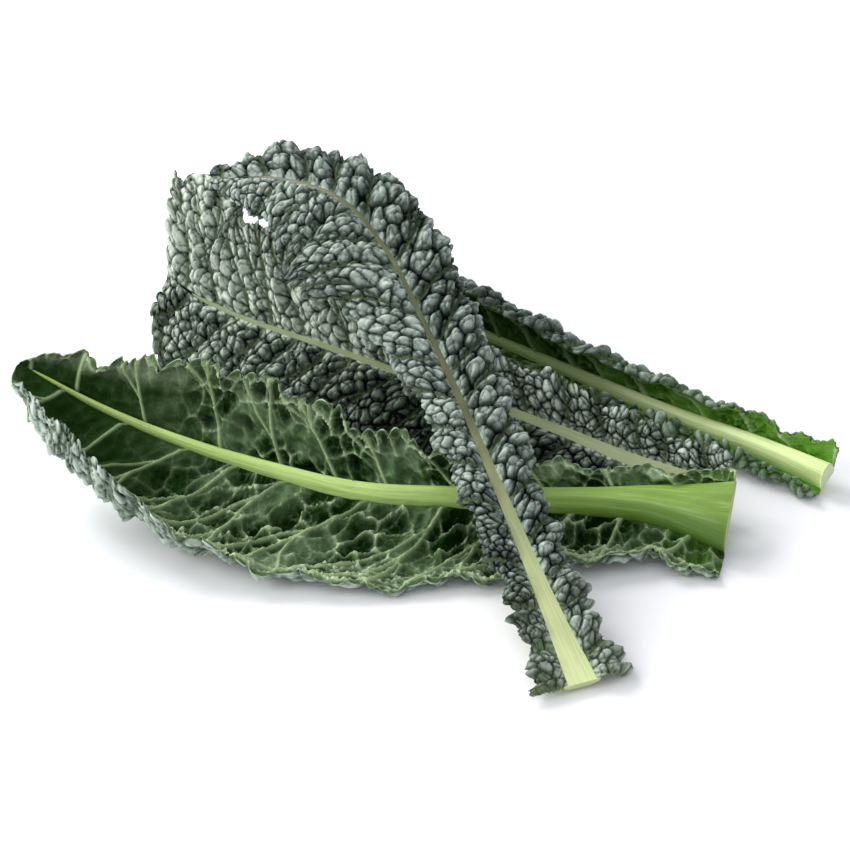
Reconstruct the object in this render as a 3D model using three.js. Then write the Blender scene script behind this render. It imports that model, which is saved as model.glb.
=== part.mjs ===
// A bunch of trimmed lacinato kale: four long blistered leaves laid loosely over one another.
// Two leaves show the upper side and two lie upside down. Each leaf is a blade and the midrib it grows from.
import * as THREE from "three";

// Driving dimensions. Lengths are millimetres and angles are degrees.
// +X runs along the bunch towards the cut ends, +Y away from the viewer, +Z up from the floor.
const BLADE_THICKNESS = 1.1;
const BLISTER_HEIGHT = 3;
const FULL_CURL_WIDTH = 14; // a narrower half blade curls less
const RIB_SLIT = 0.5; // between the edge of a blade and its midrib
const RIB_REACH = 0.93; // the share of a leaf's length that the midrib stands out along
const RIB_LIP = 0.5; // how far the midrib stands above the blade on the upper side
const RIB_SIDES = 6; // corners of the midrib's keel
const ROWS_PER_RIB_RING = 2;
const ROW_CROWDING = 1.1; // rows stand closer together towards the tip
const SPINE_STEPS = 240;
const CURL_STEPS = 24;
const MIDDLE = [1.5, 11.5]; // the middle of the bunch on the floor, which is the origin of the part

// A leaf is laid out by stations at equal steps along its midrib, from the cut end to the tip.
// roll: how far the leaf is turned about its midrib; 180 lies upside down.
// rise: the angle at which a half blade leaves the midrib; edge: the angle it has curled to at its margin.
// power: how late the curl sets in; lean: how far the rows of blisters sweep towards the tip.
// tip: where the round end of the half blade begins; blunt: the share of the width left at the very end.
// wave: [height, length, start] of each ruffle.
const LEAVES = {
  front_leaf: {
    path: [
      [103, -34, 11], [76, -27, 10], [46, -25, 9.8], [12, -23, 9.8], [-22, -21, 11],
      [-53, -12, 14], [-84, -2, 19], [-113, 8, 27], [-140, 13, 42],
    ],
    roll: [150, 158, 163, 163, 163, 160, 155, 150, 150],
    rows: 42,
    left: {
      columns: 5,
      width: [6, 8, 11, 16, 23, 29, 27, 17, 10],
      rise: [-40, -45, -45, -45, -45, -40, -40, -35, -30],
      edge: [-60, -70, -80, -90, -90, -80, -70, -80, -90],
      power: 3,
      tip: 0.85,
      blunt: 0.25,
      lean: [0, 0.3, 0.4, 0.3, 0.2, 0.1],
      wave: [[2.5, 26, 0.5], [1.5, 13, 1]],
    },
    right: {
      columns: 9,
      width: [14, 21, 31, 40, 47, 52, 49, 38, 20],
      rise: [5, 8, 10, 10, 10, 10, 8, 0, 0],
      edge: [-95, -100, -70, -60, -75, -120, -175, -190, -150],
      power: 2.5,
      tip: 0.87,
      blunt: 0.25,
      lean: [0, 0.3, 0.4, 0.4, 0.3, 0.2],
      wave: [[1.5, 30, 0], [1, 14, 2]],
    },
    ribWidth: [26, 14, 8.5, 7, 6, 5, 3.8, 2.5, 1.4],
    ribDepth: [6, 7, 7, 6, 5.5, 4.5, 3.5, 2.5, 1.4],
    bladeColour: 0x4c6b3f,
    ribColour: 0x9db356,
  },
  back_leaf: {
    path: [
      [102, -20, 12], [74, -7, 14], [47, 6, 18.5], [19, 18, 23], [-9, 31, 26],
      [-36, 45, 28], [-63, 60, 29], [-83, 73, 31], [-94, 82, 35],
    ],
    roll: [-35, -40, -45, -45, -45, -45, -45, -45, -45],
    rows: 40,
    left: {
      columns: 7,
      width: [10, 15, 22, 28, 33, 36, 36, 34, 28],
      rise: [15, 15, 15, 15, 15, 15, 10, 10, 10],
      edge: [-60, -80, -100, -110, -110, -110, -110, -80, -50],
      power: 3,
      tip: 0.88,
      blunt: 0.5,
      lean: [0, 0.2, 0.3, 0.2, 0, -0.4],
      wave: [[2, 24, 0.5]],
    },
    right: {
      columns: 7,
      width: [8, 11, 14, 18, 26, 29, 32, 36, 37],
      rise: [15, 20, 20, 20, 20, 15, 15, 15, 15],
      edge: [-60, -60, -60, -60, -60, -60, -50, -50, -60],
      power: 4,
      tip: 0.92,
      blunt: 0.85,
      lean: [0, 0.3, 0.4, 0.4, 0.5, 0.7],
      wave: [[2, 28, 0], [1, 13, 0.5]],
    },
    ribWidth: [8, 6, 4.5, 3.6, 3, 2.6, 2.2, 1.8, 1.3],
    ribDepth: [5, 5, 4, 3.5, 3, 2.6, 2.2, 1.8, 1.2],
    bladeColour: 0x4d6464,
    ribColour: 0x8c9c68,
  },
  rear_leaf: {
    path: [
      [140, -3, 4], [118, 13, 5], [94, 30, 5], [70, 47, 6], [46, 66, 6],
      [20, 85, 7], [-6, 104, 8], [-31, 125, 8], [-47, 140, 8],
    ],
    roll: [160, 160, 160, 160, 160, 165, 170, 170, 170],
    rows: 40,
    left: {
      columns: 6,
      width: [8, 12, 17, 22, 28, 31, 29, 23, 14],
      rise: [-50, -60, -65, -70, -70, -70, -60, -40, -30],
      edge: [-130, -150, -180, -190, -190, -190, -180, -150, -120],
      power: 2.5,
      tip: 0.8,
      blunt: 0.25,
      lean: [0, 0.3, 0.4, 0.4, 0.3, 0.3],
      wave: [[1.5, 26, 0.5], [1, 12, 1]],
    },
    right: {
      columns: 6,
      width: [7.5, 12, 16, 20, 23, 26, 26, 22, 14],
      rise: [15, 15, 10, 5, 0, 0, 0, 0, 0],
      edge: [-260, -200, -180, -150, -130, -110, -90, -90, -90],
      power: 1.5,
      tip: 0.8,
      blunt: 0.25,
      lean: [0, 0.3, 0.4, 0.4, 0.3, 0.3],
      wave: [[1, 26, 0.5]],
    },
    ribWidth: [9, 7.5, 6, 5, 4.2, 3.6, 3, 2.2, 1.5],
    ribDepth: [7.5, 6.5, 5.2, 4.3, 3.6, 3, 2.6, 1.8, 1.2],
    bladeColour: 0x4a6350,
    ribColour: 0xc4d29a,
  },
  top_leaf: {
    path: [
      [50, -111.5, 3.3], [41, -89, 13], [32, -64, 22], [22, -38, 33], [11, -9, 44],
      [-1, 19, 56], [-13, 43, 68], [-29.5, 64, 77], [-53, 81.5, 75.5], [-77, 92, 69],
    ],
    roll: [0, 0, 0, 0, 0, 0, 0, -5, -15, -30],
    rows: 46,
    left: {
      columns: 7,
      width: [10, 9, 11, 14, 16, 24, 37, 30, 17, 11],
      rise: [10, 25, 30, 30, 25, 20, 20, 15, 10, 0],
      edge: [-80, -110, -130, -140, -130, -115, -85, -70, -60, -60],
      power: 1.5,
      tip: 0.82,
      blunt: 0.25,
      lean: [0, 0.3, 0.4, 0.4, 0.1, 0],
      wave: [[1.5, 24, 0.5], [1, 12, 1]],
    },
    right: {
      columns: 7,
      width: [11, 14, 16, 20, 25, 31, 36, 37, 30, 14],
      rise: [10, 25, 30, 35, 35, 32, 22, 12, 8, 5],
      edge: [-80, -110, -130, -140, -140, -140, -140, -130, -110, -100],
      power: 1.5,
      tip: 0.82,
      blunt: 0.25,
      lean: [0, 0.3, 0.4, 0.4, 0.3, 0.2],
      wave: [[1.5, 26, 0], [1, 13, 0]],
    },
    ribWidth: [13, 8.7, 6.3, 4.6, 3.4, 2.7, 2.3, 2, 1.7, 1.4],
    ribDepth: [3, 5, 4.6, 4, 3.2, 2.6, 2.3, 2, 1.7, 1.3],
    bladeColour: 0x4a605e,
    ribColour: 0xb3bd8a,
  },
};

const radians = (degrees) => (degrees * Math.PI) / 180;

// A smooth curve through values set at equal steps, read at t from 0 to 1.
function smooth(values, t) {
  const last = values.length - 1;
  const x = Math.min(Math.max(t, 0), 1) * last;
  const i = Math.min(Math.floor(x), last - 1);
  const f = x - i;
  const b = values[i];
  const c = values[i + 1];
  const a = i > 0 ? values[i - 1] : 2 * b - c;
  const d = i < last - 1 ? values[i + 2] : 2 * c - b;
  const bend = (2 * a - 5 * b + 4 * c - d) * f * f + (3 * b - a - 3 * c + d) * f * f * f;
  return 0.5 * (2 * b + (c - a) * f + bend);
}

function pathPoint(path, t) {
  const along = [0, 1, 2].map((axis) => smooth(path.map((station) => station[axis]), t));
  return new THREE.Vector3(...along);
}

// The midrib's centre line, with an untwisted frame carried along it and then rolled.
function makeSpine(leaf) {
  const spine = [];
  for (let k = 0; k <= SPINE_STEPS; k += 1) {
    spine.push({ t: k / SPINE_STEPS, point: pathPoint(leaf.path, k / SPINE_STEPS) });
  }
  spine.forEach((at, k) => {
    const before = spine[Math.max(k - 1, 0)];
    const after = spine[Math.min(k + 1, SPINE_STEPS)];
    at.ahead = after.point.clone().sub(before.point).normalize();
    at.length = k === 0 ? 0 : before.length + at.point.distanceTo(before.point);
  });
  const up = new THREE.Vector3(0, 0, 1);
  up.addScaledVector(spine[0].ahead, -up.dot(spine[0].ahead)).normalize();
  spine.forEach((at, k) => {
    if (k > 0) {
      const before = spine[k - 1];
      const step = at.point.clone().sub(before.point);
      const scale = 2 / step.lengthSq();
      const turned = before.ahead.clone().addScaledVector(step, -scale * step.dot(before.ahead));
      up.addScaledVector(step, -scale * step.dot(up));
      const twist = at.ahead.clone().sub(turned);
      if (twist.lengthSq() > 1e-12) {
        up.addScaledVector(twist, (-2 / twist.lengthSq()) * twist.dot(up));
      }
    }
    const roll = radians(smooth(leaf.roll, at.t));
    const side = at.ahead.clone().cross(up);
    at.normal = up.clone().multiplyScalar(Math.cos(roll)).addScaledVector(side, Math.sin(roll));
    at.side = at.ahead.clone().cross(at.normal);
  });
  return spine;
}

// The frame at a distance along the midrib, carried straight on past either end.
function frameAt(spine, distance) {
  const whole = spine[SPINE_STEPS].length;
  const inside = Math.min(Math.max(distance, 0), whole);
  let k = 1;
  while (k < SPINE_STEPS && spine[k].length < inside) {
    k += 1;
  }
  const a = spine[k - 1];
  const b = spine[k];
  const f = (inside - a.length) / (b.length - a.length);
  const mixed = (key) => a[key].clone().lerp(b[key], f);
  const frame = {
    t: a.t + (b.t - a.t) * f,
    point: mixed("point"),
    ahead: mixed("ahead").normalize(),
    normal: mixed("normal").normalize(),
    side: mixed("side").normalize(),
  };
  frame.point.addScaledVector(frame.ahead, distance - inside);
  return frame;
}

// Repeatable scatter between -1 and 1, so that no two blisters are alike.
function scatter(seed, i, j) {
  const x = Math.sin(12.9898 * i + 78.233 * j + 37.719 * seed) * 43758.5453;
  return 2 * (x - Math.floor(x)) - 1;
}

function halfWidth(half, t) {
  const x = Math.min(Math.max((t - half.tip) / (1 - half.tip), 0), 1);
  return smooth(half.width, t) * Math.max(Math.sqrt(1 - x * x), half.blunt);
}

// A point of a half blade and the direction its upper side faces there.
// across runs from 0 at the midrib to 1 at the margin; sign is -1 on the left and 1 on the right.
function bladePoint(leaf, half, spine, sign, distance, across) {
  const t = frameAt(spine, distance).t;
  const width = halfWidth(half, t);
  const rise = radians(smooth(half.rise, t));
  const turn = (radians(smooth(half.edge, t)) - rise) * Math.min(1, width / FULL_CURL_WIDTH);
  let out = t < RIB_REACH ? smooth(leaf.ribWidth, t) / 2 + RIB_SLIT : 0;
  let lift = 0;
  for (let k = 0; k < CURL_STEPS; k += 1) {
    const angle = rise + turn * (((k + 0.5) / CURL_STEPS) * across) ** half.power;
    out += (Math.cos(angle) * width * across) / CURL_STEPS;
    lift += (Math.sin(angle) * width * across) / CURL_STEPS;
  }
  const angle = rise + turn * across ** half.power;
  half.wave.forEach(([height, length, start]) => {
    const ripple = height * across ** 2 * Math.sin((2 * Math.PI * distance) / length + start);
    out -= ripple * Math.sin(angle);
    lift += ripple * Math.cos(angle);
  });
  const frame = frameAt(spine, distance + smooth(half.lean, t) * across * width);
  const point = frame.point.clone();
  point.addScaledVector(frame.side, sign * out).addScaledVector(frame.normal, lift);
  const facing = frame.normal.clone();
  if (across > 0) {
    facing.multiplyScalar(Math.cos(angle)).addScaledVector(frame.side, -sign * Math.sin(angle));
  }
  return { point, facing };
}

// Turns an open skin of corners and faces into a closed sheet, flattened where it lies on the floor.
function closedSheet(corners, faces) {
  const count = corners.length;
  const upper = corners.map((c) => c.point.clone().addScaledVector(c.facing, BLADE_THICKNESS / 2));
  const lower = corners.map((c) => c.point.clone().addScaledVector(c.facing, -BLADE_THICKNESS / 2));
  upper.forEach((point, k) => {
    const [high, low] = point.z > lower[k].z ? [point, lower[k]] : [lower[k], point];
    low.z = Math.max(low.z, 0);
    high.z = Math.max(high.z, BLADE_THICKNESS * 0.9);
  });
  const walls = [];
  const edges = new Set(faces.flatMap(([a, b, c]) => [a + "," + b, b + "," + c, c + "," + a]));
  edges.forEach((edge) => {
    const [a, b] = edge.split(",").map(Number);
    if (!edges.has(b + "," + a)) {
      walls.push([b, a, a + count], [b, a + count, b + count]);
    }
  });
  const under = faces.map(([a, b, c]) => [c + count, b + count, a + count]);
  return solid([...upper, ...lower], [...faces, ...under, ...walls]);
}

function solid(points, faces) {
  const positions = points.flatMap((p) => [p.x - MIDDLE[0], p.y - MIDDLE[1], p.z]);
  const geometry = new THREE.BufferGeometry();
  geometry.setAttribute("position", new THREE.Float32BufferAttribute(positions, 3));
  geometry.setIndex(faces.flat());
  geometry.computeVertexNormals();
  return geometry;
}

function rowDistance(leaf, spine, row) {
  const left = 1 - row / leaf.rows;
  return spine[SPINE_STEPS].length * (1 - left ** ROW_CROWDING);
}

// Both half blades, parted by the midrib and grown together beyond its end.
// Every third corner of the net is the top of a six-sided blister.
function makeBlade(leaf, spine, seed) {
  const corners = [];
  const faces = [];
  const joined = [];
  [-1, 1].forEach((sign) => {
    const half = sign < 0 ? leaf.left : leaf.right;
    const net = [];
    for (let i = 0; i <= leaf.rows; i += 1) {
      const row = rowDistance(leaf, spine, i);
      const pitch = row - rowDistance(leaf, spine, Math.max(i - 1, 0));
      const t = frameAt(spine, row).t;
      const cell = Math.min(halfWidth(half, t) / half.columns, 5) * Math.min(1, 0.2 + 9 * (1 - t));
      net.push([]);
      for (let j = 0; j <= half.columns; j += 1) {
        const grown = j === 0 && t >= RIB_REACH;
        if (grown && sign > 0) {
          net[i].push(joined[i]);
          continue;
        }
        const free = j > 0 && i > 0 && i < leaf.rows;
        const distance = row + (free ? 0.16 * pitch * scatter(seed + sign, i, j) : 0);
        const shift = free && j < half.columns ? 0.14 * scatter(seed - sign, j, i) : 0;
        const corner = bladePoint(leaf, half, spine, sign, distance, (j + shift) / half.columns);
        if (j > 0 && (i - j + 30) % 3 === 0) {
          const height = BLISTER_HEIGHT * (1 + 0.25 * scatter(seed, i, j + sign)) * (cell / 5);
          corner.point.addScaledVector(corner.facing, height);
        }
        if (grown) {
          joined[i] = corners.length;
        }
        net[i].push(corners.length);
        corners.push(corner);
      }
    }
    for (let i = 0; i < leaf.rows; i += 1) {
      for (let j = 0; j < half.columns; j += 1) {
        const a = net[i][j];
        const b = net[i + 1][j];
        const c = net[i + 1][j + 1];
        const d = net[i][j + 1];
        faces.push(...(sign < 0 ? [[a, b, d], [b, c, d]] : [[a, d, b], [b, d, c]]));
      }
    }
  });
  return closedSheet(corners, faces);
}

// The midrib: nearly flat on the upper side of the leaf and a round keel on the underside.
function makeRib(leaf, spine) {
  const rings = [];
  for (let i = 0; i <= leaf.rows; i += ROWS_PER_RIB_RING) {
    const frame = frameAt(spine, rowDistance(leaf, spine, i));
    if (frame.t >= RIB_REACH) {
      break;
    }
    const half = smooth(leaf.ribWidth, frame.t) / 2;
    const depth = smooth(leaf.ribDepth, frame.t);
    const outline = [[0.7 * half, RIB_LIP], [-0.7 * half, RIB_LIP]];
    for (let k = 0; k < RIB_SIDES; k += 1) {
      const angle = Math.PI * (1 + k / (RIB_SIDES - 1));
      outline.push([half * Math.cos(angle), depth * Math.sin(angle)]);
    }
    rings.push(outline.map(([out, lift]) => {
      const point = frame.point.clone().addScaledVector(frame.side, out);
      point.addScaledVector(frame.normal, lift);
      point.z = Math.max(point.z, 0);
      return point;
    }));
  }
  const around = RIB_SIDES + 2;
  const end = (rings.length - 1) * around;
  const faces = [];
  for (let i = 0; i < rings.length - 1; i += 1) {
    for (let k = 0; k < around; k += 1) {
      const a = i * around + k;
      const b = i * around + ((k + 1) % around);
      faces.push([a, a + around, b], [b, a + around, b + around]);
    }
  }
  for (let k = 1; k < around - 1; k += 1) {
    faces.push([0, k, k + 1], [end, end + k + 1, end + k]);
  }
  return solid(rings.flat(), faces);
}

const group = new THREE.Group();
group.name = "lacinato_kale_bunch";

function addPiece(name, geometry, color, roughness) {
  const mesh = new THREE.Mesh(
    geometry,
    new THREE.MeshStandardMaterial({ color, roughness, metalness: 0, flatShading: true }),
  );
  mesh.name = name;
  group.add(mesh);
}

Object.entries(LEAVES).forEach(([name, leaf], seed) => {
  const spine = makeSpine(leaf);
  addPiece(name + "_blade", makeBlade(leaf, spine, seed + 1), leaf.bladeColour, 0.65);
  addPiece(name + "_midrib", makeRib(leaf, spine), leaf.ribColour, 0.5);
});

export default group;
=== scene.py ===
import math

import bpy
import numpy as np
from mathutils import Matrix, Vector
from mathutils.kdtree import KDTree


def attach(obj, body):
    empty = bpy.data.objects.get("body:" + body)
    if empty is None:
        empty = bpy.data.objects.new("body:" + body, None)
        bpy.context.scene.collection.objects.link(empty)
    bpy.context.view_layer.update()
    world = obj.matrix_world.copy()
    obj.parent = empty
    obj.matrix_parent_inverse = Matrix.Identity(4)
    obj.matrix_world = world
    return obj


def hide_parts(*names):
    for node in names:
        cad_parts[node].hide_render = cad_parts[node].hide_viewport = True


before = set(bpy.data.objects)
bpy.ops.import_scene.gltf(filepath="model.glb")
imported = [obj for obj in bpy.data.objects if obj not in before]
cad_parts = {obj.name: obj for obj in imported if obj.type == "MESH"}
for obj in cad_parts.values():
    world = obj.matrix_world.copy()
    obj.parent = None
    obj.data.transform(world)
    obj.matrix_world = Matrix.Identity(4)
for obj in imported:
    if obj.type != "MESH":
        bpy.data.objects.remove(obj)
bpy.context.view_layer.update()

# Lengths in this file are millimetres until a mesh is made. The stations are those of the part's source,
# but the right half of the back leaf is up to 2.5 mm wider near its tip. A blunt end of 0.1 is 0.25 there.
MM = 0.001
MIDDLE = np.array([1.5, 11.5, 0.0])  # the middle of the bunch on the floor, which is the origin of the part
FULL_CURL_WIDTH = 14  # a narrower half blade curls less
SPINE_STEPS = 240
CURL_STEPS = 24
NEARLY_ZERO = 1e-12
FAR = 1e9
RIPPLE_SPREAD = 2.1  # brings a sum of nine waves back to heights of about 1

THICKNESS = 0.8
LUMP = 2.0  # between the small lumps on the blisters
VEIN_PHASES = (0.85, 0.35)  # where the side veins of the left and the right half start
VEIN_SLANT = 0.84  # a vein runs at a slant, so it is this much nearer than measured along the midrib
SPARE_ALONG = 15  # domes and lumps are also scattered this far outside a half blade
SPARE_ACROSS = 3
DOME_TRIES = 6000
LUMP_TRIES = 20000
DOME_SOFT = 0.07  # how far the borders of the domes are rounded, as a share of their size
LUMP_SOFT = 0.06
PUFF = 0.5  # a dome's height as a share of its size
NET_RIDGE = 0.1  # how far the creases between domes stand out of the underside
VEIN_RIDGE = 0.7
MARGIN_LOBES = 1.6  # how far the last row of domes pushes the margin out
END_LOBES = 2.2  # the same at the tip of the blade
LOBE_MIDDLE = 0.6  # a dome lower than this pulls the margin in

RIB_LIP = 0.5  # how far the upper side of a midrib stands above the middle of the blade
RIB_COLUMNS = 3  # columns of the blade on each side of its middle that lie within the midrib
RIB_AROUND = 36
RIB_ROWS = 300
RIB_CUT = -0.3  # the cut face stands this far out of the blade
RIB_GROOVES = 9
RIB_BODY = 0.96  # the share of the leaf's length with even rows, and then a few rows that close the end
RIB_CLOSING_ROWS = (0.963, 0.985, 8)
RIB_NARROWS = 0.88  # where it begins to close, and over how much of the length
RIB_NARROWING = 0.107

# A leaf is laid out by stations at equal steps along its midrib, from the cut end to the tip.
# roll: how far the leaf is turned about its midrib; 180 lies upside down.
# rows, columns: how finely the blade is divided; dense: how much more finely at the margin.
# rise: the angle at which a half blade leaves the midrib; edge: the angle it has curled to at its margin.
# power: how late the curl sets in; lean: how far the rows of blisters sweep towards the tip.
# tip: where the round end of the half blade begins; blunt: the share of the width left at the very end.
# wave: height, length and start of each long ruffle; ruffle: height of the short ones at the cut end.
# tight: how closely the beads of a rolled margin stand.
# fold: where a groove crosses the left half, its slant, its depth and its width.
# vein_gap: from one side vein to the next; swell: how far the blade bulges between them.
# crumple: height of the irregular creases; flat_tip: between which places they fade out.
# skins: the upper and the lower skin keep every row and column, or every second one.
# blister: size of the domes at the midrib and at the margin, for the left and the right half.
# painted_shading: painted shade that darkens a half near the cut end and near the tip, painted light where
# it is below zero, and where that changes.

LEAVES = {
    "front_leaf": dict(
        path=[
            (103, -34, 11), (76, -27, 10), (46, -25, 9.8), (12, -23, 9.8), (-22, -21, 11),
            (-53, -12, 14), (-84, -2, 19), (-113, 8, 27), (-140, 13, 42),
        ],
        roll=[150, 158, 163, 163, 163, 160, 155, 150, 150],
        rows=520,
        left=dict(
            columns=54,
            width=[6, 8, 11, 16, 23, 29, 27, 17, 10],
            rise=[-40, -45, -45, -45, -45, -40, -40, -35, -30],
            edge=[-60, -70, -80, -90, -90, -80, -70, -80, -90],
            power=3, tip=0.85, blunt=0.1,
            lean=[0, 0.3, 0.4, 0.3, 0.2, 0.1],
            wave=[(2.5, 26, 0.5), (1.5, 13, 1)],
        ),
        right=dict(
            columns=90, dense=0.45, tight=0.9,
            width=[14, 21, 31, 40, 47, 52, 49, 38, 20],
            rise=[5, 8, 10, 10, 10, 10, 8, 0, 0],
            edge=[-95, -100, -70, -60, -75, -120, -175, -190, -150],
            power=2.5, tip=0.87, blunt=0.1,
            lean=[0, 0.3, 0.4, 0.4, 0.3, 0.2],
            wave=[(1.5, 30, 0), (1, 14, 2)],
        ),
        rib_width=[26, 14, 8.5, 7, 6, 5, 3.8, 2.5, 1.4],
        rib_depth=[6, 7, 7, 6, 5.5, 4.5, 3.5, 2.5, 1.4],
        vein_gap=23,
        swell=2.0,
        crumple=1.5,
        flat_tip=(0.66, 0.8),
        skins=(2, 1),
        blister=((7.5, 4.2), (8, 4.3)),
        painted_shading=((0, 0, 0.2, 0.45), (0, -0.12, 0.2, 0.45)),
    ),
    "back_leaf": dict(
        path=[
            (102, -20, 12), (74, -7, 14), (47, 6, 18.5), (19, 18, 23), (-9, 31, 26),
            (-36, 45, 28), (-63, 60, 29), (-83, 73, 31), (-94, 82, 35),
        ],
        roll=[-35, -40, -45, -45, -45, -45, -45, -45, -45],
        rows=540,
        left=dict(
            columns=68,
            width=[10, 15, 22, 28, 33, 36, 36, 34, 28],
            rise=[15, 15, 15, 15, 15, 15, 10, 10, 10],
            edge=[-60, -80, -100, -110, -110, -110, -110, -80, -50],
            power=3, tip=0.88, blunt=0.5,
            lean=[0, 0.2, 0.3, 0.2, 0, -0.4],
            wave=[(2, 24, 0.5)],
        ),
        right=dict(
            columns=70,
            width=[8, 11, 14, 18, 26, 29, 33.5, 38.5, 38],
            rise=[15, 20, 20, 20, 20, 15, 15, 15, 15],
            edge=[-60, -60, -60, -60, -60, -60, -50, -50, -60],
            power=4, tip=0.92, blunt=0.85,
            lean=[0, 0.3, 0.4, 0.4, 0.5, 0.7],
            wave=[(2, 28, 0), (1, 13, 0.5)],
        ),
        rib_width=[8, 6, 4.5, 3.6, 3, 2.6, 2.2, 1.8, 1.3],
        rib_depth=[5, 5, 4, 3.5, 3, 2.6, 2.2, 1.8, 1.2],
        vein_gap=14,
        swell=3.1,
        crumple=0.5,
        flat_tip=(1, 2),
        skins=(1, 2),
        blister=((3.2, 2.9), (3.4, 3.0)),
        painted_shading=((0.3, 0.09, 0.42, 0.75), (0.08, -0.15, 0.2, 0.45)),
    ),
    "rear_leaf": dict(
        path=[
            (140, -3, 4), (118, 13, 5), (94, 30, 5), (70, 47, 6), (46, 66, 6),
            (20, 85, 7), (-6, 104, 8), (-31, 125, 8), (-47, 140, 8),
        ],
        roll=[160, 160, 160, 160, 160, 165, 170, 170, 170],
        rows=400,
        left=dict(
            columns=60,
            width=[8, 12, 17, 22, 28, 31, 29, 23, 14],
            rise=[-50, -60, -65, -70, -70, -70, -60, -40, -30],
            edge=[-130, -150, -180, -190, -190, -190, -180, -150, -120],
            power=2.5, tip=0.8, blunt=0.1,
            lean=[0, 0.3, 0.4, 0.4, 0.3, 0.3],
            wave=[(1.5, 26, 0.5), (1, 12, 1)],
        ),
        right=dict(
            columns=56,
            width=[7.5, 12, 16, 20, 23, 26, 26, 22, 14],
            rise=[15, 15, 10, 5, 0, 0, 0, 0, 0],
            edge=[-260, -200, -180, -150, -130, -110, -90, -90, -90],
            power=1.5, tip=0.8, blunt=0.1,
            lean=[0, 0.3, 0.4, 0.4, 0.3, 0.3],
            wave=[(1, 26, 0.5)],
        ),
        rib_width=[9, 7.5, 6, 5, 4.2, 3.6, 3, 2.2, 1.5],
        rib_depth=[7.5, 6.5, 5.2, 4.3, 3.6, 3, 2.6, 1.8, 1.2],
        vein_gap=18,
        swell=1.4,
        crumple=0.6,
        flat_tip=(1, 2),
        skins=(1, 1),
        blister=((4.4, 3.6), (4.4, 3.6)),
        painted_shading=((0.02, 0.06, 0.2, 0.45), (0.02, 0.06, 0.2, 0.45)),
    ),
    "top_leaf": dict(
        path=[
            (50, -111.5, 3.3), (41, -89, 13), (32, -64, 22), (22, -38, 33), (11, -9, 44),
            (-1, 19, 56), (-13, 43, 68), (-29.5, 64, 77), (-53, 81.5, 75.5), (-77, 92, 69),
        ],
        roll=[0, 0, 0, 0, 0, 0, 0, -5, -15, -30],
        rows=560,
        left=dict(
            columns=64, ruffle=1.9,
            width=[10, 9, 11, 14, 16, 24, 37, 30, 17, 11],
            rise=[10, 25, 30, 30, 25, 20, 20, 15, 10, 0],
            edge=[-80, -110, -130, -140, -130, -115, -85, -70, -60, -60],
            power=1.5, tip=0.82, blunt=0.1,
            lean=[0, 0.3, 0.4, 0.4, 0.1, 0],
            wave=[(1.5, 24, 0.5), (1, 12, 1)],
        ),
        right=dict(
            columns=70, ruffle=2.2,
            width=[11, 14, 16, 20, 25, 31, 36, 37, 30, 14],
            rise=[10, 25, 30, 35, 35, 32, 22, 12, 8, 5],
            edge=[-80, -110, -130, -140, -140, -140, -140, -130, -110, -100],
            power=1.5, tip=0.82, blunt=0.1,
            lean=[0, 0.3, 0.4, 0.4, 0.3, 0.2],
            wave=[(1.5, 26, 0), (1, 13, 0)],
        ),
        fold=(0.79, -0.55, 6, 2.8),
        rib_width=[13, 8.7, 6.3, 4.6, 3.4, 2.7, 2.3, 2, 1.7, 1.4],
        rib_depth=[3, 5, 4.6, 4, 3.2, 2.6, 2.3, 2, 1.7, 1.3],
        vein_gap=17,
        swell=2.0,
        crumple=0.5,
        flat_tip=(1, 2),
        skins=(1, 2),
        blister=((3.5, 2.9), (5.6, 4.0)),
        painted_shading=((0.24, 0.0, 0.2, 0.4), (0.08, 0.1, 0.2, 0.45)),
    ),
}


def smooth(values, t):
    """A smooth curve through values, or points, set at equal steps, read at t from 0 to 1."""
    v = np.asarray(values, float)
    last = len(v) - 1
    x = np.clip(np.asarray(t, float), 0, 1) * last
    i = np.minimum(x.astype(int), last - 1)
    f = x - i
    first, final = i == 0, i == last - 1
    if v.ndim == 2:
        f, first, final = f[..., None], first[..., None], final[..., None]
    b, c = v[i], v[i + 1]
    a = np.where(first, 2 * b - c, v[np.maximum(i - 1, 0)])
    d = np.where(final, 2 * c - b, v[np.minimum(i + 2, last)])
    bend = (2 * a - 5 * b + 4 * c - d) * f**2 + (3 * b - a - 3 * c + d) * f**3
    return 0.5 * (2 * b + (c - a) * f + bend)


def step_up(low, high, x):
    f = np.clip((x - low) / (high - low), 0, 1)
    return f * f * (3 - 2 * f)


def unit(v):
    return v / np.linalg.norm(v, axis=-1, keepdims=True)


def make_spine(leaf):
    """The midrib's centre line, with an untwisted frame carried along it and then rolled."""
    t = np.linspace(0, 1, SPINE_STEPS + 1)
    point = smooth(leaf["path"], t)
    ahead = np.empty_like(point)
    ahead[1:-1] = point[2:] - point[:-2]
    ahead[0] = point[1] - point[0]
    ahead[-1] = point[-1] - point[-2]
    ahead = unit(ahead)
    length = np.concatenate([[0], np.cumsum(np.linalg.norm(np.diff(point, axis=0), axis=1))])
    up = np.array([0, 0, 1.0])
    up = unit(up - (up @ ahead[0]) * ahead[0])
    ups = [up]
    for k in range(SPINE_STEPS):
        step = point[k + 1] - point[k]
        scale = 2 / (step @ step)
        turned = ahead[k] - scale * (step @ ahead[k]) * step
        up = up - scale * (step @ up) * step
        twist = ahead[k + 1] - turned
        if twist @ twist > NEARLY_ZERO:
            up = up - (2 / (twist @ twist)) * (twist @ up) * twist
        ups.append(up)
    ups = np.array(ups)
    roll = np.radians(smooth(leaf["roll"], t))[:, None]
    normal = ups * np.cos(roll) + np.cross(ahead, ups) * np.sin(roll)
    side = np.cross(ahead, normal)
    return dict(t=t, length=length, point=point, ahead=ahead, normal=normal, side=side)


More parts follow.
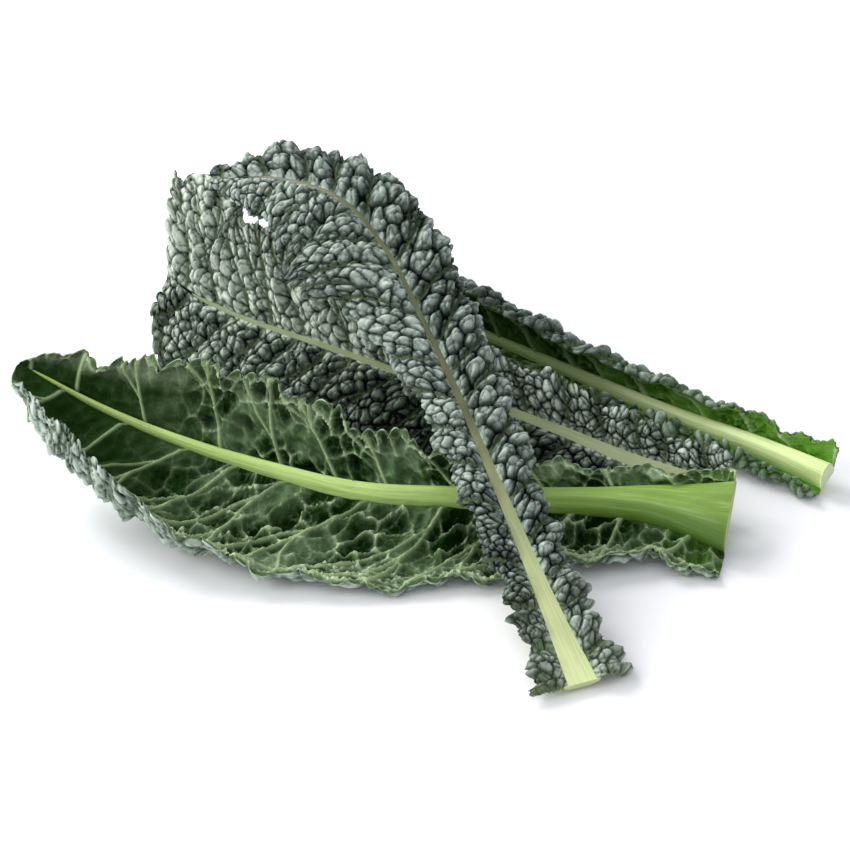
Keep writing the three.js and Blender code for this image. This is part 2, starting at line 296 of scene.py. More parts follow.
def frame_at(spine, distance):
    """The spine's frame at any distance along it, carried straight on past both ends."""
    inside = np.clip(distance, 0, spine["length"][-1])
    found = {"t": np.interp(inside, spine["length"], spine["t"])}
    for key in ("point", "ahead", "normal", "side"):
        rows = [np.interp(inside, spine["length"], spine[key][:, axis]) for axis in range(3)]
        found[key] = np.stack(rows, -1)
    for key in ("ahead", "normal", "side"):
        found[key] = unit(found[key])
    found["point"] = found["point"] + (distance - inside)[..., None] * found["ahead"]
    return found


def half_width(half, t):
    """The width of a half blade, with its round end."""
    x = np.clip((t - half["tip"]) / (1 - half["tip"]), 0, 1)
    return smooth(half["width"], t) * np.maximum(np.sqrt(1 - x * x), half["blunt"])


def cells(points, seeds, soft, count=8):
    """Among scattered seeds: which one's cell each point is in, and how far in from its rounded border."""
    tree = KDTree(len(seeds))
    for k, (x, y) in enumerate(seeds):
        tree.insert((x, y, 0), k)
    tree.balance()
    index = np.array([[k for _, k, _ in tree.find_n((x, y, 0), count)] for x, y in points])
    own = seeds[index[:, 0]]
    blend = soft[index[:, 0]]
    total = np.zeros(len(points))
    for col in range(1, count):
        other = seeds[index[:, col]]
        apart = np.linalg.norm(other - own, axis=1)
        gap = ((points - other) ** 2).sum(1) - ((points - own) ** 2).sum(1)
        total += np.exp(-gap / (2 * apart * blend))
    return index[:, 0], np.maximum(-blend * np.log(total), 0)


def scattered(rng, reach, width, spacing, tries):
    """Points over a half blade laid flat, none nearer to another than the spacing there."""
    kept = np.empty((tries, 2))
    radii = np.empty(tries)
    count = 0
    area = (reach + 2 * SPARE_ALONG, width + 2 * SPARE_ACROSS)
    for x, y in rng.random((tries, 2)) * area + (-SPARE_ALONG, -SPARE_ACROSS):
        apart = spacing(x, y)
        if count:
            gap = (kept[:count, 0] - x) ** 2 + (kept[:count, 1] - y) ** 2
            if gap.min() < apart * apart:
                continue
        kept[count] = x, y
        radii[count] = apart
        count += 1
    return kept[:count], radii[:count]


def ripples(x, y, size, seed):
    """A soft random field with waves of about one size."""
    rng = np.random.default_rng(seed)
    total = 0
    for turn, phase, scale in rng.random((9, 3)):
        pace = 2 * math.pi / (size * (0.75 + 0.6 * scale))
        onward = x * math.cos(math.pi * turn) + y * math.sin(math.pi * turn)
        total = total + np.sin(pace * onward + 6.3 * phase)
    return total / RIPPLE_SPREAD


def pillow(edge, reach):
    """A round rise from 0 at a cell's border to 1 at the reach from it."""
    f = np.clip(edge / reach, 0, 1)
    return np.sqrt(1 - (1 - f) ** 2)


def vein_distance(gap, reach, along, arc, phase):
    """How far a point of a half blade is from the nearest side vein, which forks on its way out."""
    far = np.full(along.shape, FAR)
    for k in range(-2, int(reach / gap) + 2):
        start = (k + phase + 0.2 * math.sin(5.1 * k + 7 * phase)) * gap
        bend = 0.3 * arc + (1.2 + 0.06 * arc) * np.sin(arc / 9 + 2.3 * k)
        main = along - start - bend
        far = np.minimum(far, np.abs(main))
        for turn, fork in ((0.5, 13 + 5 * math.sin(3 * k)), (-0.45, 22 + 5 * math.cos(2 * k))):
            out = np.maximum(arc - fork, 0)
            branch = np.abs(main - turn * out - 0.8 * np.sin(out / 5))
            far = np.where(arc > fork, np.minimum(far, branch), far)
    return far * VEIN_SLANT


def blisters(leaf, half, reach, along, arc, width, t, side, seed):
    """Relief of a half blade: puffed domes between the veins, each with smaller lumps on it."""
    rng = np.random.default_rng(seed)
    tight = half.get("tight", 0)
    widest = float(np.max(half["width"])) * (1 + 0.45 * tight) + 2
    near_rib, at_edge = leaf["blister"][side]
    base_finer = 0.3 if "ruffle" in half else 0
    steps = 60
    local = [float(half_width(half, k / steps)) for k in range(steps + 1)]

    def dome_spacing(x, y):
        """Domes are smaller where the half blade is narrow, and where it has short ruffles."""
        wide = local[int(min(max(x / reach, 0), 1) * steps)]
        share = min(max(y, 0) / max(wide, 1), 1)
        finer = 1 - base_finer * float(1 - step_up(0.12, 0.42, x / reach))
        return (near_rib + (at_edge - near_rib) * share) * min(1, 0.35 + wide / 32) * finer

    domes, dome_size = scattered(rng, reach, widest, dome_spacing, DOME_TRIES)
    lumps, _ = scattered(rng, reach, widest, lambda x, y: LUMP, LUMP_TRIES)
    # the flat half blade is bent a little before it is divided, so that the borders of the cells wind
    bent_along = along + 0.9 * np.sin(arc / 3.7 + along / 9) + 0.35 * np.sin(arc / 1.3)
    bent_out = 0.9 * arc + 1.5 * tight * np.maximum(arc - 0.7 * width, 0)
    bent_out = bent_out + 0.9 * np.sin(along / 4.3 + arc / 8) + 0.35 * np.sin(along / 1.5)
    bent = np.stack([bent_along, bent_out], -1).reshape(-1, 2)
    vein = vein_distance(leaf["vein_gap"], reach, along, arc, VEIN_PHASES[seed % 2])
    own, edge = cells(bent, domes, DOME_SOFT * dome_size)
    size = dome_size[own].reshape(arc.shape)
    cell = rng.random(len(domes))[own].reshape(arc.shape)
    edge = np.minimum(edge.reshape(arc.shape), 0.8 * vein)
    dome = pillow(edge, 0.5 * size)
    lump_at = bent + 0.2 * np.sin(bent[:, ::-1] * 1.7)
    small_own, small_edge = cells(lump_at, lumps, np.full(len(lumps), LUMP_SOFT * LUMP))
    small_edge = np.minimum(small_edge.reshape(arc.shape), edge)
    lump = pillow(small_edge, 0.5 * LUMP)
    lump_cell = rng.random(len(lumps))[small_own].reshape(arc.shape)

    # the relief fades out at the midrib, at the tip and where the half blade is narrow
    steady = step_up(0.1, 2.6, arc) * np.minimum(1, 0.3 + 12 * (1 - t))
    steady = steady * np.minimum(1, 0.25 + width / FULL_CURL_WIDTH)
    swell = step_up(0, 0.3 * leaf["vein_gap"], vein)
    flat = step_up(*leaf["flat_tip"], t)
    creased = ripples(along, arc, 10, seed) + 0.65 * ripples(along, arc, 4.8, seed + 50)
    creased = creased * (0.2 + 0.8 * step_up(0.3, 4, vein)) * step_up(0.5, 4.5, arc)
    inside = 1 - (arc / width) ** 4
    crumpled = leaf["crumple"] * (1 - 0.6 * flat) * creased
    big = (crumpled + leaf["swell"] * (swell - 0.8)) * inside - 0.2 * size
    puff = PUFF * size * (0.75 + 0.5 * cell) * dome * steady
    calm = 1 - 0.8 * tight * step_up(0.6, 0.75, arc / width)
    small = (0.6 + 0.8 * lump_cell) * lump * (0.35 + 0.65 * dome) * steady * calm
    # how much of the domes the lower skin shows: in some places more than in others, at the margin all
    gate = np.clip(0.75 + 0.4 * ripples(along, arc, 26, seed + 90), 0.2, 1) * (1 - 0.85 * flat)
    gate = gate + (1 - gate) * (arc / width) ** 14
    # painted shade over the half, set for the cut end and for the tip, turning to painted light below zero;
    # none at the midrib
    shade_base, shade_tip, shade_from, shade_to = leaf["painted_shading"][side]
    marks = dict(
        dome=dome,
        lump=lump,
        cell=cell,
        swell=swell,
        pit=0.35 + gate * (0.6 * dome + 0.4 * lump - 0.35),
        gate=gate,
        painted_shading=(shade_base + (shade_tip - shade_base) * step_up(shade_from, shade_to, t)) * step_up(0, 4, arc),
        net=(1 - step_up(0.0, 0.75, edge)) * gate,
        vein=1 - step_up(0.1, 0.95 - 0.45 * np.clip(arc / 40, 0, 1), vein),
    )
    return big * steady, puff, small, marks


def half_blade(leaf, half, spine, sign, distance, across, seed):
    """One half blade as a grid: places, the way its upper side faces, its relief and what colours it."""
    reach = spine["length"][-1]
    tight = half.get("tight", 0)
    t = np.interp(distance, spine["length"], spine["t"])
    width = half_width(half, t)
    room = np.minimum(1, width / FULL_CURL_WIDTH)
    rise = np.radians(smooth(half["rise"], t))
    turn = (np.radians(smooth(half["edge"], t)) - rise) * room
    share = (np.arange(CURL_STEPS) + 0.5) / CURL_STEPS
    arc = across[None] * width[:, None]
    angle = rise[:, None] + turn[:, None] * across[None] ** half["power"]
    inner = rise[:, None, None] + turn[:, None, None] * (share * across[:, None])[None] ** half["power"]
    out = np.cos(inner).mean(2) * arc
    lift = np.sin(inner).mean(2) * arc
    row = distance[:, None]
    for height, length, start in half["wave"]:
        ripple = height * across**2 * np.sin(2 * math.pi * row / length + start)
        out = out - ripple * np.sin(angle)
        lift = lift + ripple * np.cos(angle)
    along = np.broadcast_to(row, arc.shape)
    big, puff, small, marks = blisters(
        leaf, half, reach, along, arc, width[:, None], t[:, None], int(sign > 0), seed)

    # fine frills at the margin, and short ruffles near the cut end
    fine = 0.25 * np.sin(row / 1.3 + seed) + 0.35 * np.sin(row / 2.1 + 2 * seed)
    frill = across**6 * room[:, None] * (1 - tight) * fine
    near_cut = 1 - step_up(0.1, 0.24, t)
    ruffle = half.get("ruffle", 0) * near_cut * np.sin(distance / 1.3 + 1.5 * np.sin(distance / 4))
    frill = frill + ruffle[:, None] * across**1.5
    out = out - frill * np.sin(angle)
    lift = lift + frill * np.cos(angle)

    # the blade starts under the midrib's edge
    rib = smooth(leaf["rib_width"], t) / 2 * (1 - step_up(0.9, 0.985, t))
    out = out + 0.8 * rib[:, None]

    push = marks["dome"][:, -1:] - LOBE_MIDDLE
    lobes = MARGIN_LOBES * across**7 * room[:, None] * push * (1 - 0.6 * tight)
    out = out + lobes * np.cos(angle)
    lift = lift + lobes * np.sin(angle)
    if sign < 0 and "fold" in leaf:
        start, slant, depth, wide = leaf["fold"]
        off = (along - start * reach - slant * arc) / wide
        lift = lift - depth * np.exp(-off * off) * step_up(0, 8, arc)
    lean = smooth(half["lean"], t)[:, None]
    ragged = step_up(0.9, 1.0, t)[:, None] * END_LOBES * (marks["dome"][-1:] - LOBE_MIDDLE)
    at = frame_at(spine, row + lean * arc + ragged * np.minimum(1, arc / 8))
    place = at["point"] + sign * out[..., None] * at["side"] + lift[..., None] * at["normal"]
    facing = np.cos(angle)[..., None] * at["normal"] - sign * np.sin(angle)[..., None] * at["side"]
    marks["across"] = np.broadcast_to(across[None], arc.shape)
    marks["along"] = np.broadcast_to(t[:, None], arc.shape)
    return dict(place=place, facing=facing, relief=(big, puff, small), marks=marks)


def leaf_grid(leaf, spine, seed):
    """The whole blade from its left margin through the midrib to its right margin."""
    distance = np.linspace(0, spine["length"][-1], leaf["rows"] + 1)
    halves = []
    for sign, key in ((-1, "left"), (1, "right")):
        half = leaf[key]
        across = np.linspace(0, 1, half["columns"] + 1)
        across = across + half.get("dense", 0) * across * (1 - across)
        halves.append(half_blade(leaf, half, spine, sign, distance, across, seed * 2 + (sign > 0)))
    at = frame_at(spine, distance)
    left, right = halves
    middle = []
    for share in np.linspace(-1, 1, 2 * RIB_COLUMNS + 1)[1:-1]:
        edge = (left if share < 0 else right)["place"][:, 0]
        middle.append(at["point"] + (edge - at["point"]) * abs(share))
    middle = np.stack(middle, 1)
    up = np.repeat(at["normal"][:, None], middle.shape[1], 1)
    still = np.zeros(middle.shape[:2])

    def across_leaf(a, fill, b):
        return np.concatenate([a[:, ::-1], fill, b], 1)

    place = across_leaf(left["place"], middle, right["place"])
    facing = across_leaf(left["facing"], up, right["facing"])
    relief = [across_leaf(a, still, b) for a, b in zip(left["relief"], right["relief"])]
    marks = {}
    for key in left["marks"]:
        fill = still + at["t"][:, None] if key == "along" else still
        marks[key] = across_leaf(left["marks"][key], fill, right["marks"][key])
    return place, facing, relief, marks


def add_mesh(name, points, groups, marks, material):
    """A mesh from points, groups of faces of one size each, and marks: a number at every point for each."""
    mesh = bpy.data.meshes.new(name)
    mesh.vertices.add(len(points))
    mesh.vertices.foreach_set("co", ((points - MIDDLE) * MM).astype(np.float32).ravel())
    sizes = np.concatenate([np.full(len(group), group.shape[1]) for group in groups])
    loops = np.concatenate([group.ravel() for group in groups])
    mesh.loops.add(len(loops))
    mesh.loops.foreach_set("vertex_index", loops.astype(np.int32))
    mesh.polygons.add(len(sizes))
    starts = np.concatenate([[0], np.cumsum(sizes)[:-1]])
    mesh.polygons.foreach_set("loop_start", starts.astype(np.int32))
    mesh.polygons.foreach_set("use_smooth", np.ones(len(sizes), bool))
    mesh.update(calc_edges=True)
    for key, values in marks.items():
        layer = mesh.attributes.new(key, "FLOAT", "POINT")
        layer.data.foreach_set("value", values.astype(np.float32).ravel())
    mesh.validate()
    mesh.materials.append(material)
    piece = bpy.data.objects.new(name, mesh)
    bpy.context.scene.collection.objects.link(piece)
    return piece


def make_blade(name, leaf, spine, seed, material):
    """A closed sheet: an upper and a lower skin, each fine or coarse, and the wall between them."""
    place, facing, (big, puff, small), marks = leaf_grid(leaf, spine, seed)
    ridge = (NET_RIDGE * marks["net"] + VEIN_RIDGE * marks["vein"]) * np.minimum(1, marks["across"] * 12)
    below = (0.9 * puff + 0.85 * small) * marks.pop("gate")
    upper = place + (big + puff + small + THICKNESS / 2)[..., None] * facing
    lower = place + (big + below - THICKNESS / 2 - ridge)[..., None] * facing

    # neither skin goes under the floor, and the higher one stays above the other there
    higher = upper[..., 2] > lower[..., 2]
    for skin, on_top in ((upper, higher), (lower, ~higher)):
        skin[..., 2] = np.maximum(skin[..., 2], np.where(on_top, THICKNESS * 0.9, 0.0))
    points, groups, rings = [], [], []
    both = {key: [] for key in (*marks, "upper")}
    start = 0
    for skin, step, turn in ((upper, leaf["skins"][0], 1), (lower, leaf["skins"][1], -1)):
        part = skin[::step, ::step]
        index = np.arange(part.shape[0] * part.shape[1]).reshape(part.shape[:2]) + start
        a, b, c, d = index[:-1, :-1], index[1:, :-1], index[1:, 1:], index[:-1, 1:]
        groups.append(np.stack([a, d, c, b], -1).reshape(-1, 4)[:, ::turn])
        rings.append(np.concatenate([index[0, :], index[1:, -1], index[-1, -2::-1], index[-2:0:-1, 0]]))
        points.append(part.reshape(-1, 3))
        for key, values in marks.items():
            both[key].append(values[::step, ::step].ravel())
        both["upper"].append(np.full(index.size, turn > 0))
        start += index.size

    # each face of the wall spans one step of the coarser skin's rim and the finer skin's steps beside it
    steps = min(len(ring) for ring in rings)
    outer, inner = (ring.reshape(steps, -1) for ring in rings)
    next_outer, next_inner = (np.roll(ring, -1, 0)[:, :1] for ring in (outer, inner))
    groups.append(np.concatenate([next_outer, outer[:, ::-1], inner, next_inner], 1))
    both = {key: np.concatenate(values) for key, values in both.items()}
    return add_mesh(name, np.concatenate(points), groups, both, material)


def make_rib(name, leaf, spine, ridges, material):
    """A midrib: flat on the upper side, keeled and finely ridged on the other, with a cut face."""
    reach = spine["length"][-1]
    body = np.linspace(RIB_CUT, RIB_BODY * reach, RIB_ROWS)
    distance = np.concatenate([body, np.linspace(*RIB_CLOSING_ROWS) * reach])
    at = frame_at(spine, distance)
    closing = np.clip((distance / reach - RIB_NARROWS) / RIB_NARROWING, 0, 1)
    close = np.sqrt(1 - closing**2)
    half = smooth(leaf["rib_width"], at["t"]) / 2 * close
    depth = smooth(leaf["rib_depth"], at["t"]) * close
    angle = np.linspace(0, 2 * math.pi, RIB_AROUND, endpoint=False)
    x, y = np.cos(angle), np.sin(angle)
    wide = half[:, None] * np.sign(x) * np.abs(x) ** 0.85
    rise = RIB_LIP * close[:, None] * np.maximum(y, 0) ** 0.6
    groove = ridges * np.sin(RIB_GROOVES * angle)[None] * np.minimum(1, half / 4)[:, None]
    lift = rise - (depth[:, None] + groove * 1.2) * np.maximum(-y, 0) ** 0.9
    wall = at["point"][:, None] + wide[..., None] * at["side"][:, None]
    wall = wall + lift[..., None] * at["normal"][:, None]
    wall[..., 2] = np.maximum(wall[..., 2], 0.0)
    rows = len(distance)
    index = np.arange(rows * RIB_AROUND).reshape(rows, RIB_AROUND)
    # the cut face has corners of its own, so that its colour stays off the sides
    cap = rows * RIB_AROUND + np.arange(RIB_AROUND)
    centre = wall[0].mean(0)
    rings = []
    for scale, hollow in ((1, 0), (0.8, -0.15), (0.4, 0.1)):
        rings.append(centre + (wall[0] - centre) * scale + at["ahead"][0] * hollow)
    strips = [(index[k], index[k + 1]) for k in range(rows - 1)]
    strips += [(cap, index[0]), (cap + RIB_AROUND, cap), (cap + 2 * RIB_AROUND, cap + RIB_AROUND)]
    quads = np.concatenate([np.stack([a, b, np.roll(b, -1), np.roll(a, -1)], -1) for a, b in strips])
    groups = [quads, np.stack([cap + 2 * RIB_AROUND, index[-1][::-1]])]
    points = np.concatenate([wall.reshape(-1, 3), *rings])
    t = np.concatenate([np.repeat(at["t"], RIB_AROUND), np.zeros(3 * RIB_AROUND)])
    marks = dict(
        along=t,
        around_x=np.tile(x, rows + 3),
        around_y=np.tile(y, rows + 3),
        cut=np.concatenate([np.zeros(rows * RIB_AROUND), np.ones(3 * RIB_AROUND)]),
    )
    return add_mesh(name, points, groups, marks, material)


class Tree:
    """A material's nodes."""

    def __init__(self, name):
        self.material = bpy.data.materials.new(name)
        self.material.use_nodes = True
        self.nodes = self.material.node_tree.nodes
        self.links = self.material.node_tree.links
        self.nodes.clear()
        self.shader = self.nodes.new("ShaderNodeBsdfPrincipled")
        output = self.nodes.new("ShaderNodeOutputMaterial")
        self.links.new(self.shader.outputs[0], output.inputs[0])

    def put(self, socket, value):
        if isinstance(value, bpy.types.NodeSocket):
            self.links.new(value, socket)
        elif socket.type == "RGBA":
            socket.default_value = (*value, 1)
        else:
            socket.default_value = value

    def mark(self, name):
        node = self.nodes.new("ShaderNodeAttribute")
        node.attribute_name = name
        return node.outputs["Fac"]

    def math(self, operation, a, b=0.0, c=0.0):
        node = self.nodes.new("ShaderNodeMath")
        node.operation = operation
        for socket, value in zip(node.inputs, (a, b, c)):
            self.put(socket, value)
        return node.outputs[0]

    def mix(self, factor, a, b):
        node = self.nodes.new("ShaderNodeMix")
        node.data_type = "RGBA"
        self.put(node.inputs[0], factor)
        self.put(node.inputs[6], a)
        self.put(node.inputs[7], b)
        return node.outputs[2]

    def remap(self, value, low, high, to_low=0.0, to_high=1.0):
        node = self.nodes.new("ShaderNodeMapRange")
        node.interpolation_type = "SMOOTHSTEP"
        for socket, number in zip(node.inputs, (value, low, high, to_low, to_high)):
            self.put(socket, number)
        return node.outputs[0]

    def noise(self, scale, detail=3.0, rough=0.6, vector=None):
        node = self.nodes.new("ShaderNodeTexNoise")
        node.inputs["Scale"].default_value = scale
        node.inputs["Detail"].default_value = detail
        node.inputs["Roughness"].default_value = rough
        if vector is None:
            vector = self.nodes.new("ShaderNodeTexCoord").outputs["Object"]
        self.links.new(vector, node.inputs["Vector"])
        return node.outputs["Fac"]

    def ramp(self, factor, stops):
        node = self.nodes.new("ShaderNodeValToRGB")
        ramp = node.color_ramp
        while len(ramp.elements) < len(stops):
            ramp.elements.new(0.5)
        for element, (place, colour) in zip(ramp.elements, stops):
            element.position = place
            element.color = (*colour, 1)
        self.put(node.inputs[0], factor)
        return node.outputs[0]

    def vector(self, x, y, z):
        node = self.nodes.new("ShaderNodeCombineXYZ")
        for socket, value in zip(node.inputs, (x, y, z)):
            self.put(socket, value)
        return node.outputs[0]

    def bump(self, height, strength, distance):
        node = self.nodes.new("ShaderNodeBump")
        node.inputs["Strength"].default_value = strength
        node.inputs["Distance"].default_value = distance
        self.put(node.inputs["Height"], height)
        self.links.new(node.outputs[0], self.shader.inputs["Normal"])


# Colours are linear.
# near-black painted shade for the creases between the domes and lumps
CREASE_SHADE = (0.006, 0.01, 0.008)
VEIN = (0.38, 0.5, 0.25)
DEEP_GREEN = (0.009, 0.034, 0.003)


def leaf_material(
    name, top, middle, pocket_shade, blade, bloom_and_highlight, green, base, flat_tip=(0.99, 1.0), lumpy=0.36,
):
    """Waxy blistered upper side and veined underside, told apart by the mesh's own marks.

    top and middle colour the upper side's domes, their pale tops partly a painted highlight, with painted
    shade in the creases; the underside runs from pale ridges with a painted highlight, through blade, to
    pockets darkened with painted shade.
    base: how far along the leaf the fresh green reaches from the cut end, and how strongly.
    flat_tip: between which places the underside turns smooth and dark.
    lumpy: how much the small lumps count in the upper side's colour, against the domes.
    """
    tree = Tree(name)
    dome = tree.mark("dome")
    cell = tree.mark("cell")
    across = tree.mark("across")
    along = tree.mark("along")
    patches = tree.math("SUBTRACT", tree.noise(45.0, 3.0), 0.5)
    speckle = tree.math("SUBTRACT", tree.noise(800.0, 2.0), 0.5)
    edge = tree.remap(across, 0.95, 1.0, 0.0, 0.35)
    near_cut = tree.remap(along, 0.0, base[0], base[1], 0.0)
    fresh = tree.math("MAXIMUM", edge, near_cut)

    # the upper side is coloured by its relief height: painted shade in the creases, the bloom's grey-green
    # on the domes, and their tops lighter as a painted highlight
    high = tree.math("MULTIPLY_ADD", tree.mark("swell"), 0.16, tree.math("MULTIPLY", dome, 0.86 - lumpy))
    high = tree.math("MULTIPLY_ADD", tree.mark("lump"), lumpy, high)
    high = tree.math("MULTIPLY_ADD", patches, 0.35, high)
    high = tree.math("MULTIPLY_ADD", speckle, 0.3, high)
    high = tree.math("MULTIPLY_ADD", tree.math("SUBTRACT", cell, 0.5), 0.14, high)
    # painted shade and painted light over whole halves
    high = tree.math("SUBTRACT", high, tree.mark("painted_shading"))
    upper = tree.ramp(high, [(0.25, CREASE_SHADE), (0.64, middle), (1.0, top)])
    upper = tree.mix(tree.math("MULTIPLY", tree.mark("vein"), 0.25), upper, VEIN)
    upper = tree.mix(tree.math("MULTIPLY", fresh, 0.25), upper, green)

    # the underside is coloured by depth: pale ridges, bloom with a painted highlight, through blade to
    # pockets darkened with painted shade
    deep = tree.math("MULTIPLY_ADD", patches, 0.8, tree.mark("pit"))
    deep = tree.math("MULTIPLY_ADD", speckle, 0.3, deep)
    under = tree.ramp(deep, [(0.0, bloom_and_highlight), (0.35, blade), (0.8, pocket_shade)])
    under = tree.mix(tree.remap(along, *flat_tip, 0.0, 0.9), under, DEEP_GREEN)
    under = tree.mix(tree.math("MULTIPLY", tree.mark("net"), 0.14), under, VEIN)
    under = tree.mix(fresh, under, green)
    # near the margin, away from the pockets, the underside takes the pale ridge colour, bloom with a
    # painted highlight
    near_margin = tree.remap(across, 0.5, 1.0, 0.0, 0.7)
    margin = tree.math("MULTIPLY", near_margin, tree.remap(deep, 0.0, 0.8, 1.0, 0.1))
    under = tree.mix(margin, under, bloom_and_highlight)
    under = tree.mix(tree.math("MULTIPLY", tree.mark("vein"), 0.85), under, VEIN)

    on_top = tree.remap(tree.mark("upper"), 0.4, 0.6)
    colour = tree.mix(on_top, under, upper)
    tree.put(tree.shader.inputs["Base Color"], colour)
    tree.put(tree.shader.inputs["Roughness"], tree.remap(patches, -0.2, 0.2, 0.42, 0.56))
    under_shine = tree.remap(deep, 0.1, 0.8, 0.45, 0.04)
    under_shine = tree.math("MULTIPLY", under_shine, tree.remap(along, *flat_tip, 1.0, 0.15))
    upper_shine = tree.remap(high, 0.35, 0.85, 0.02, 0.5)
    shine = tree.math("SUBTRACT", upper_shine, under_shine)
    shine = tree.math("MULTIPLY_ADD", on_top, shine, under_shine)
    tree.put(tree.shader.inputs["Specular IOR Level"], shine)
    grain = tree.math("MULTIPLY_ADD", tree.noise(450.0, 3.0), 2.0, tree.noise(1500.0, 2.0))
    tree.bump(grain, 0.5, 0.0005)
    return tree.material


def rib_material(name, stops, cut_colour, streak, shade=0.0):
    """A midrib with fine lengthwise streaks that changes colour towards the tip.

    stops: its colours from the cut end to the tip; shade: how much darker one side is near the cut end.
    """
    tree = Tree(name)
    along = tree.mark("along")
    stretched = tree.vector(
        tree.math("MULTIPLY", tree.mark("around_x"), 4.0),
        tree.math("MULTIPLY", tree.mark("around_y"), 4.0),
        tree.math("MULTIPLY", along, 7.0),
    )
    streaks = tree.noise(1.5, 4.0, 0.6, stretched)
    blotches = tree.noise(60.0, 3.0)
    colour = tree.ramp(along, stops)
    colour = tree.mix(tree.remap(streaks, 0.35, 0.6, streak, 0.0), colour, (0.09, 0.17, 0.03))
    colour = tree.mix(tree.remap(streaks, 0.52, 0.72, 0.0, streak), colour, (0.6, 0.68, 0.38))
    colour = tree.mix(tree.remap(blotches, 0.45, 0.75, 0.0, 0.15), colour, (0.3, 0.38, 0.14))
    if shade:
        near_side = tree.remap(tree.mark("around_x"), -0.1, 0.8)
        low = tree.math("MULTIPLY", near_side, tree.remap(along, 0.03, 0.3, shade, 0.0))
        colour = tree.mix(low, colour, (0.05, 0.13, 0.012))
    colour = tree.mix(tree.mark("cut"), colour, cut_colour)
    tree.put(tree.shader.inputs["Base Color"], colour)
    tree.put(tree.shader.inputs["Roughness"], tree.remap(blotches, 0.3, 0.7, 0.36, 0.5))
    tree.shader.inputs["Specular IOR Level"].default_value = 0.45
    tree.bump(streaks, 0.35, 0.0005)
    return tree.material


PAINTS = {
    "front_leaf": leaf_material(
        "front_leaf_paint",
        top=(0.5, 0.6, 0.5), middle=(0.13, 0.18, 0.13),
        pocket_shade=(0.008, 0.03, 0.004), blade=(0.11, 0.185, 0.08), bloom_and_highlight=(0.54, 0.66, 0.43),
        green=(0.08, 0.17, 0.025), base=(0.14, 0.7), flat_tip=(0.64, 0.8),
    ),
    "back_leaf": leaf_material(
        "back_leaf_paint",
        top=(0.54, 0.62, 0.51), middle=(0.125, 0.165, 0.125),
        pocket_shade=(0.02, 0.04, 0.015), blade=(0.08, 0.12, 0.06), bloom_and_highlight=(0.2, 0.28, 0.16),
        green=(0.1, 0.16, 0.05), base=(0.1, 0.2), lumpy=0.48,
    ),
    "rear_leaf": leaf_material(
        "rear_leaf_paint",
        top=(0.3, 0.36, 0.32), middle=(0.07, 0.095, 0.078),
        pocket_shade=(0.02, 0.07, 0.008), blade=(0.07, 0.17, 0.025), bloom_and_highlight=(0.2, 0.36, 0.1),
        green=(0.13, 0.34, 0.025), base=(0.6, 0.95),
    ),
    "top_leaf": leaf_material(
        "top_leaf_paint",
        top=(0.43, 0.51, 0.44), middle=(0.092, 0.124, 0.1),
        pocket_shade=(0.02, 0.04, 0.015), blade=(0.08, 0.12, 0.06), bloom_and_highlight=(0.2, 0.28, 0.16),
        green=(0.3, 0.38, 0.2), base=(0.2, 0.8),
    ),
}

RIBS = {
    "front_leaf": rib_material(
        "front_rib_paint",
        stops=[
            (0.0, (0.18, 0.31, 0.035)), (0.25, (0.3, 0.48, 0.09)),
            (0.5, (0.64, 0.86, 0.28)), (1.0, (0.5, 0.68, 0.19)),
        ],
        cut_colour=(0.34, 0.46, 0.13), streak=0.3, shade=0.75,
    ),
    "back_leaf": rib_material(
        "back_rib_paint",
        stops=[
            (0.0, (0.5, 0.56, 0.3)), (0.35, (0.42, 0.48, 0.24)),
            (0.7, (0.24, 0.3, 0.15)), (1.0, (0.22, 0.28, 0.16)),
        ],
        cut_colour=(0.5, 0.58, 0.3), streak=0.2,
    ),
    "rear_leaf": rib_material(
        "rear_rib_paint",
        stops=[
            (0.0, (0.78, 0.95, 0.4)), (0.35, (0.85, 0.98, 0.5)),
            (0.75, (0.5, 0.7, 0.24)), (1.0, (0.25, 0.34, 0.16)),
        ],
        cut_colour=(0.6, 0.7, 0.42), streak=0.25,
    ),
    "top_leaf": rib_material(
        "top_rib_paint",
        stops=[
            (0.0, (0.78, 0.86, 0.42)), (0.2, (0.5, 0.55, 0.28)),
            (0.42, (0.13, 0.13, 0.065)), (1.0, (0.09, 0.095, 0.05)),
        ],
        cut_colour=(0.62, 0.7, 0.38), streak=0.2,
    ),
}
RIDGES = {"front_leaf": 0.3, "back_leaf": 0.1, "rear_leaf": 0.08, "top_leaf": 0.15}

for seed, (leaf_name, leaf) in enumerate(LEAVES.items(), start=1):
    spine = make_spine(leaf)
    blade = make_blade(leaf_name + "_blistered_blade", leaf, spine, seed, PAINTS[leaf_name])
    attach(blade, "root")
    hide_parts(leaf_name + "_blade")
    rib = make_rib(leaf_name + "_ridged_midrib", leaf, spine, RIDGES[leaf_name], RIBS[leaf_name])
    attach(rib, "root")
    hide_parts(leaf_name + "_midrib")

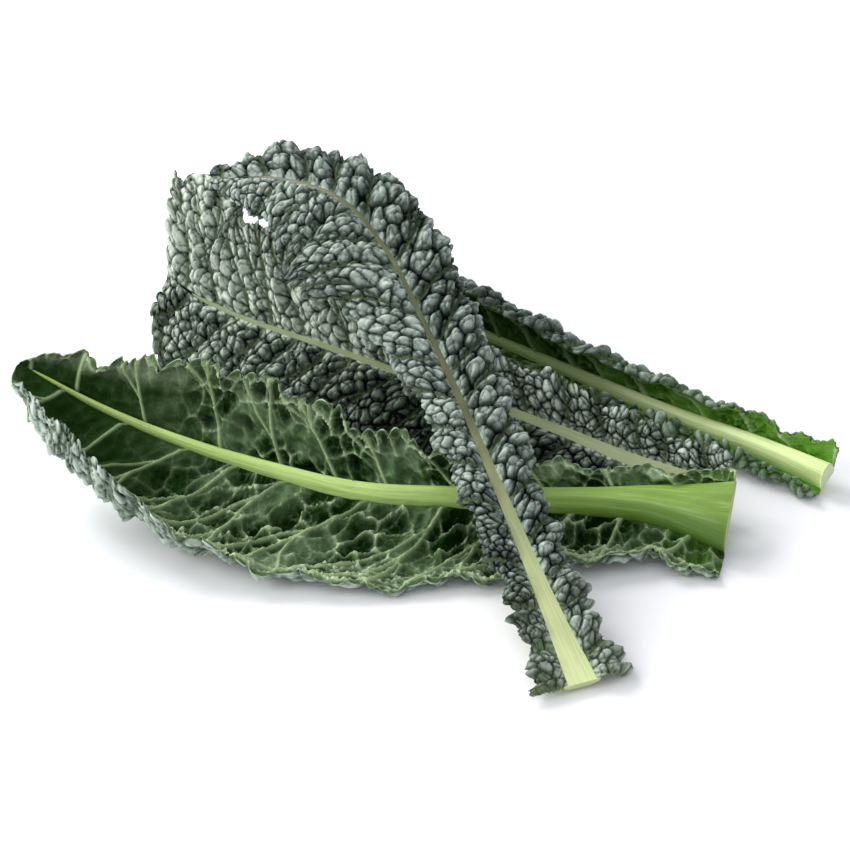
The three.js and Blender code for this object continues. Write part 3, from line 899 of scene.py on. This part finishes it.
# Floor, light and camera, in metres.
FLOOR = 4  # half its side
FLOOR_GAP = 0.0002
AIM = (0, 0, 0.03)  # what the lamps point at
EYE = Vector((-0.0015, -0.83065, 0.59858))
TARGET = Vector((-0.0015, -0.0115, 0.025))

floor_tree = Tree("pale_floor")
floor_tree.put(floor_tree.shader.inputs["Base Color"], floor_tree.mix(
    floor_tree.noise(2.0), (0.9, 0.9, 0.92), (0.92, 0.92, 0.93)))
floor_tree.shader.inputs["Roughness"].default_value = 0.8
floor_mesh = bpy.data.meshes.new("floor")
corners = [(-FLOOR, -FLOOR, 0), (FLOOR, -FLOOR, 0), (FLOOR, FLOOR, 0), (-FLOOR, FLOOR, 0)]
floor_mesh.from_pydata(corners, [], [(0, 1, 2, 3)])
floor_mesh.materials.append(floor_tree.material)
floor = bpy.data.objects.new("floor", floor_mesh)
bpy.context.scene.collection.objects.link(floor)
floor.location.z = -FLOOR_GAP

world = bpy.data.worlds.new("studio")
world.use_nodes = True
world.node_tree.nodes["Background"].inputs[0].default_value = (0.93, 0.95, 1.0, 1)
world.node_tree.nodes["Background"].inputs[1].default_value = 0.62
bpy.context.scene.world = world


def add_light(name, place, power, size, colour):
    lamp = bpy.data.lights.new(name, "AREA")
    lamp.energy = power
    lamp.size = size
    lamp.color = colour
    light = bpy.data.objects.new(name, lamp)
    bpy.context.scene.collection.objects.link(light)
    light.location = place
    light.rotation_euler = (Vector(AIM) - Vector(place)).to_track_quat("-Z", "Y").to_euler()


add_light("back_softbox", (-0.85, 0.85, 1.0), 19, 0.8, (1.0, 1.0, 0.99))
add_light("left_softbox", (-1.2, -0.3, 0.75), 9, 0.8, (1.0, 0.99, 0.97))
add_light("top_softbox", (-0.2, -0.5, 1.4), 3, 1.2, (1.0, 1.0, 1.0))

camera = bpy.data.objects.new("camera", bpy.data.cameras.new("camera"))
bpy.context.scene.collection.objects.link(camera)
camera.location = EYE
camera.rotation_euler = (TARGET - EYE).to_track_quat("-Z", "Y").to_euler()
camera.data.lens = 122.8
camera.data.sensor_width = 36
bpy.context.scene.camera = camera
bpy.context.scene.view_settings.view_transform = "Standard"
